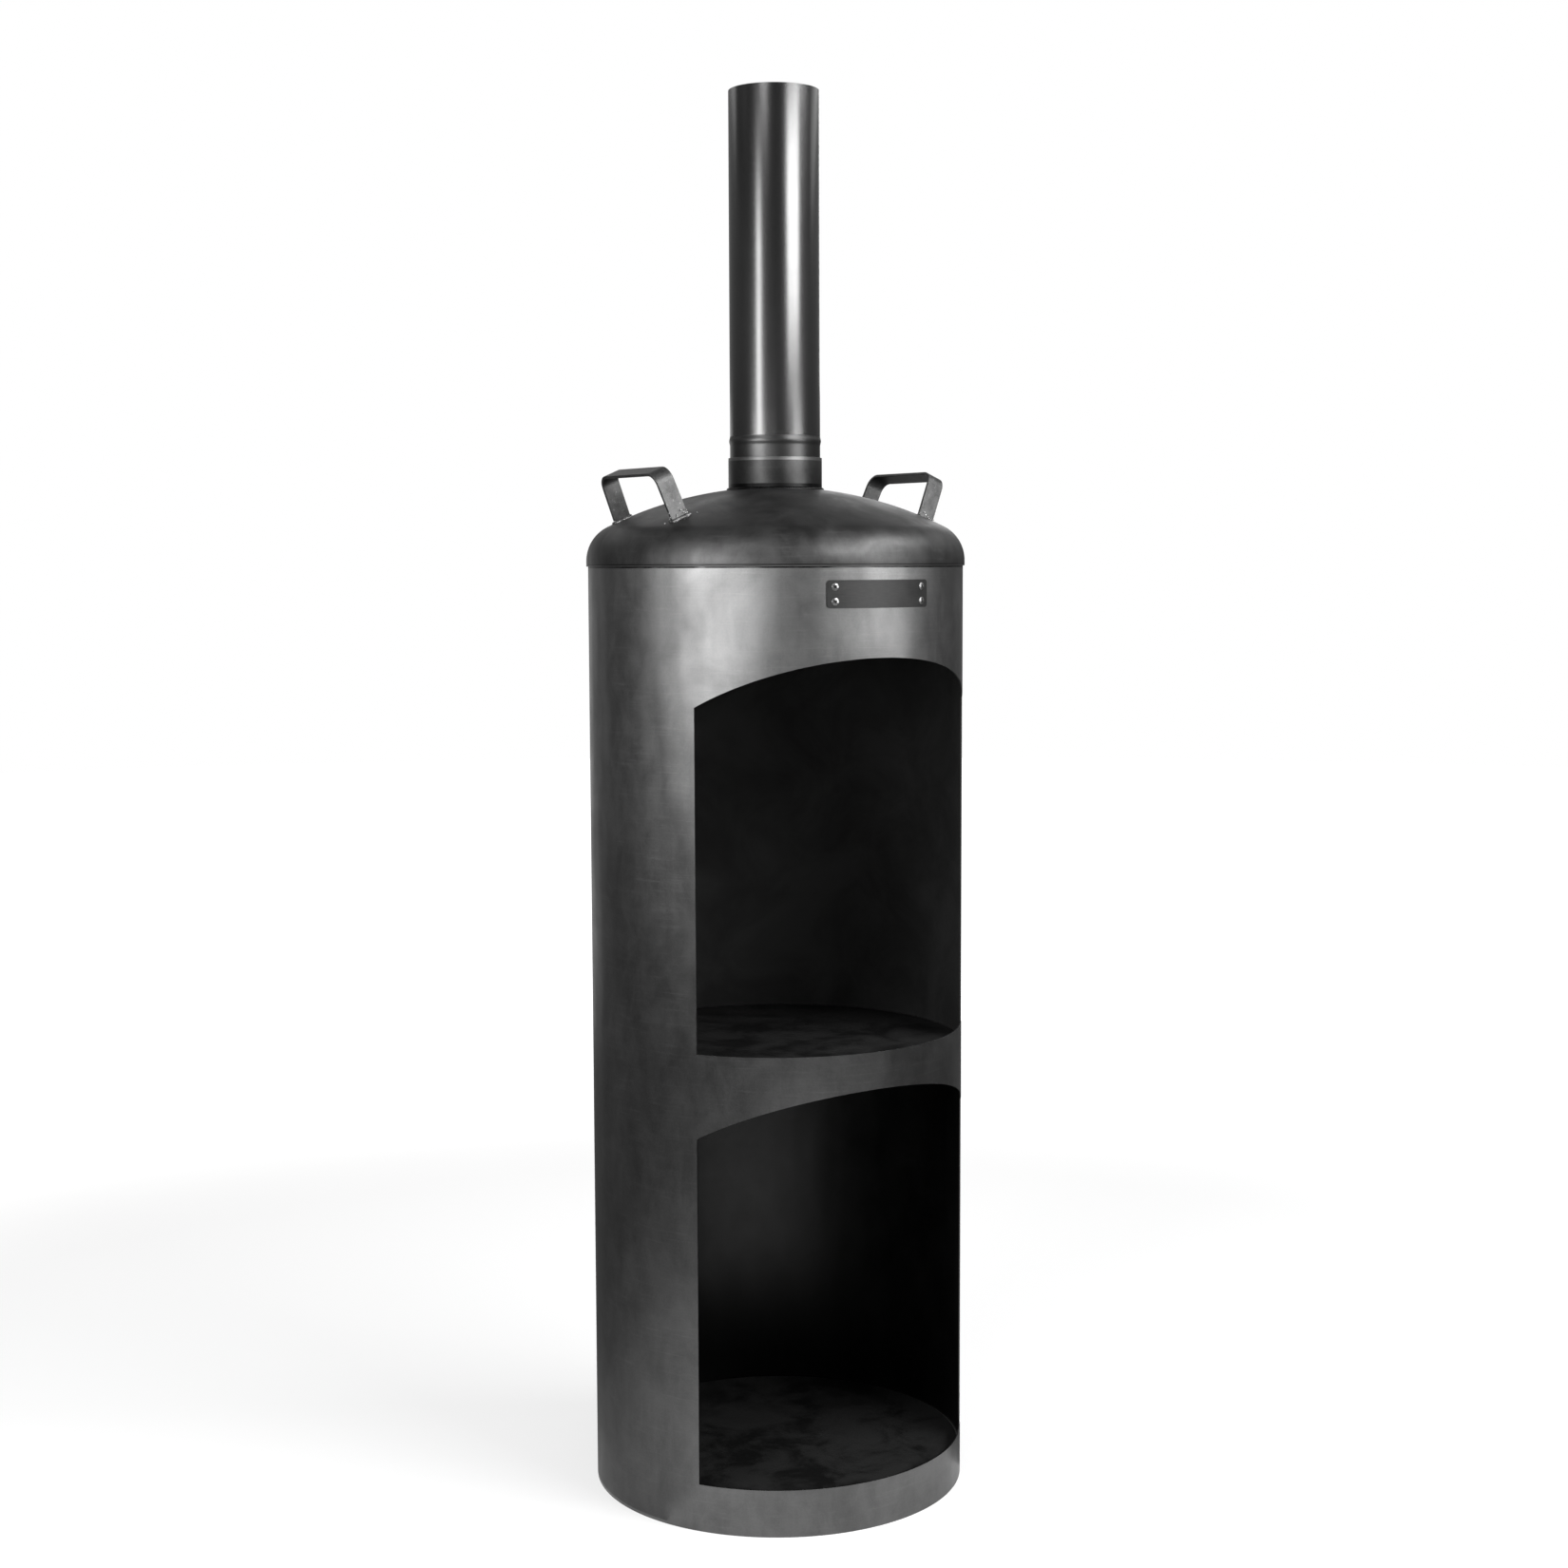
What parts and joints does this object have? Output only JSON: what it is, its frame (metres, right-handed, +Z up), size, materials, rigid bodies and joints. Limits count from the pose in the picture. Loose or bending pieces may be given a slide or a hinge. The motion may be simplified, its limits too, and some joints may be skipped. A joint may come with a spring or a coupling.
{
  "type": "outdoor wood stove",
  "caption": "Tall round outdoor wood stove: rolled steel shell with an arched fire opening over a log store, lift-off dished cap with lifting handles, flue collar and plain flue pipe.",
  "frame": {"origin": "on the shell's axis at the ground", "axes": "+Z up along the flue, -Y out of the fire opening, +X to the right seen from the front"},
  "size_m": [0.5046, 0.5046, 1.8611],
  "materials": {
    "shell_steel": "rolled dark steel sheet, satin, softly mottled",
    "cap_steel": "pressed dark steel, low satin",
    "collar_steel": "dark steel tube, satin, rubbed at the rim",
    "pipe_steel": "drawn dark steel tube, fairly glossy",
    "bar_steel": "hot-rolled flat bar, grey faces and dark edges",
    "weld_steel": "weld bead with ripples and spatter",
    "inner_steel": "blackened plate, dull",
    "plate_steel": "dark steel plate, satin, bare",
    "rivet_aluminium": "plain aluminium blind rivet with a steel mandrel stub"
  },
  "bodies": {
    "stove_body": {"body_shell": "shell_steel", "shell_seam_weld": "weld_steel", "hearth_plate": "inner_steel", "store_floor": "inner_steel", "hearth_lug_1": "inner_steel", "hearth_lug_2": "inner_steel", "hearth_lug_3": "inner_steel", "hearth_lug_4": "inner_steel", "floor_lug_1": "inner_steel", "floor_lug_2": "inner_steel", "floor_lug_3": "inner_steel", "floor_lug_4": "inner_steel", "name_plate": "plate_steel", "plate_rivets": "rivet_aluminium"},
    "cap": {"dome_cap": "cap_steel", "flue_collar": "collar_steel", "handle_left": "bar_steel", "handle_right": "bar_steel", "handle_left_welds": "weld_steel", "handle_right_welds": "weld_steel"},
    "flue": {"flue_pipe": "pipe_steel"}
  },
  "joints": [
    {"name": "cap_lift", "type": "slide", "parent": "stove_body", "child": "cap", "axis": [0, 0, 1], "range_m": [0, 0.2]},
    {"name": "flue_pull", "type": "slide", "parent": "cap", "child": "flue", "axis": [0, 0, 1], "range_m": [0, 0.15]}
  ]
}
